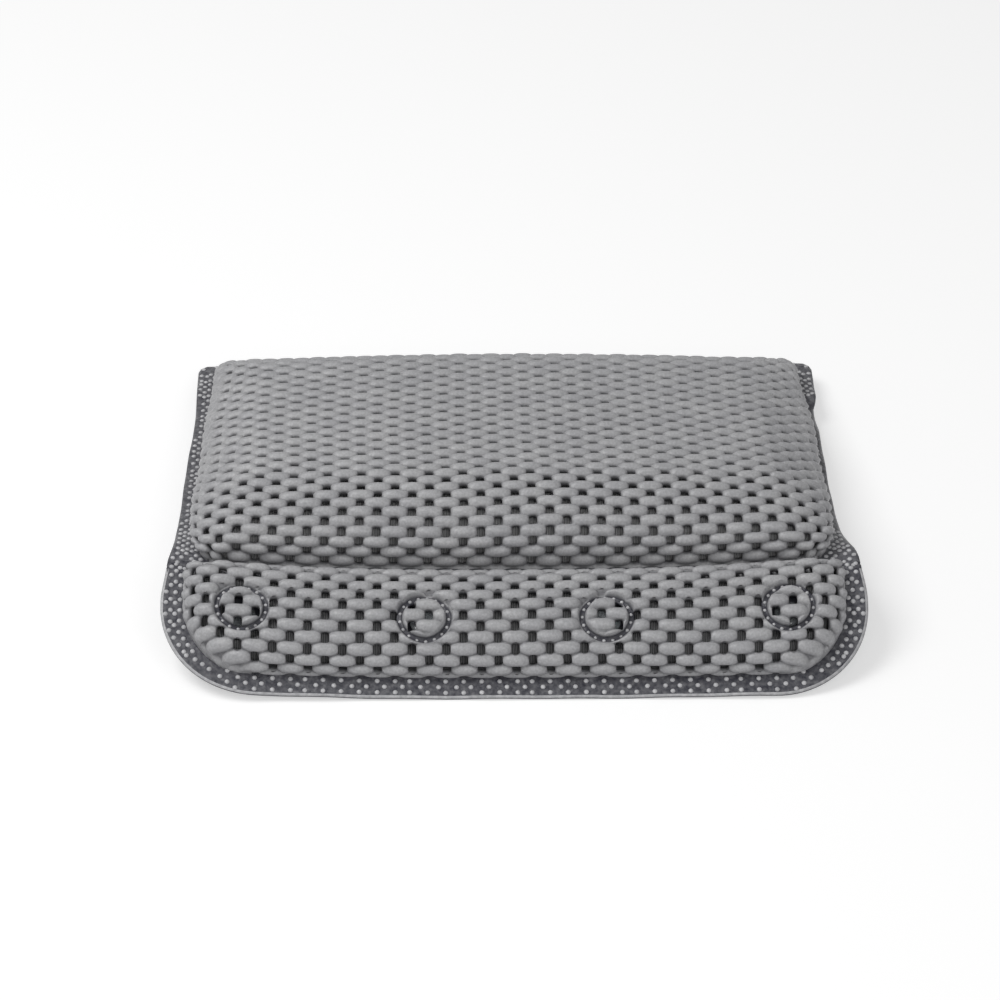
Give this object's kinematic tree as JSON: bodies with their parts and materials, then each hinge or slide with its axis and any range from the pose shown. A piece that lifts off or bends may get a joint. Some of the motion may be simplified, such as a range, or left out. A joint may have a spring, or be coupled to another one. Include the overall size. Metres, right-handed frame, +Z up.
{
  "type": "bath pillow",
  "caption": "Padded bath pillow of grey bead mesh: a stuffed cushion with welded edges and a hinged flap with suction cups underneath.",
  "frame": {"origin": "middle of the footprint, on the surface the pillow lies on", "axes": "+Z up, +X along the pillow's width and the hinge line, +Y from the flap towards the cushion's back edge"},
  "size_m": [0.32, 0.2748, 0.057],
  "materials": {
    "bead_mesh": "matte foamed vinyl, slightly cool grey",
    "welded_film": "satin melted vinyl with pale raised dots",
    "padding": "dark lined foam",
    "clear_vinyl": "soft clear vinyl"
  },
  "bodies": {
    "cushion": {"cushion_cover": "bead_mesh", "cushion_backing": "bead_mesh", "foam_core": "padding", "cushion_edge_weld": "welded_film", "hinge_weld": "welded_film"},
    "flap": {"flap_cover": "bead_mesh", "flap_pad": "padding", "flap_backing": "bead_mesh", "flap_edge_weld": "welded_film", "ring_weld_1": "welded_film", "ring_weld_2": "welded_film", "ring_weld_3": "welded_film", "ring_weld_4": "welded_film", "pocket_disc_1": "bead_mesh", "pocket_disc_2": "bead_mesh", "pocket_disc_3": "bead_mesh", "pocket_disc_4": "bead_mesh"},
    "cup_1": {"suction_cup_1": "clear_vinyl"},
    "cup_2": {"suction_cup_2": "clear_vinyl"},
    "cup_3": {"suction_cup_3": "clear_vinyl"},
    "cup_4": {"suction_cup_4": "clear_vinyl"}
  },
  "joints": [
    {"name": "flap_fold", "type": "hinge", "parent": "cushion", "child": "flap", "pos_m": [0, -0.07814, 0.0285], "axis": [1, 0, 0], "range_deg": [-40, 65]},
    {"name": "cup_1_spin", "type": "hinge", "parent": "flap", "child": "cup_1", "pos_m": [-0.123, -0.10005, 0.00949], "axis": [0, -0.4226, 0.9063], "continuous": true},
    {"name": "cup_2_spin", "type": "hinge", "parent": "flap", "child": "cup_2", "pos_m": [-0.041, -0.10323, 0.00801], "axis": [0, -0.4226, 0.9063], "continuous": true},
    {"name": "cup_3_spin", "type": "hinge", "parent": "flap", "child": "cup_3", "pos_m": [0.041, -0.10323, 0.00801], "axis": [0, -0.4226, 0.9063], "continuous": true},
    {"name": "cup_4_spin", "type": "hinge", "parent": "flap", "child": "cup_4", "pos_m": [0.123, -0.10005, 0.00949], "axis": [0, -0.4226, 0.9063], "continuous": true}
  ]
}
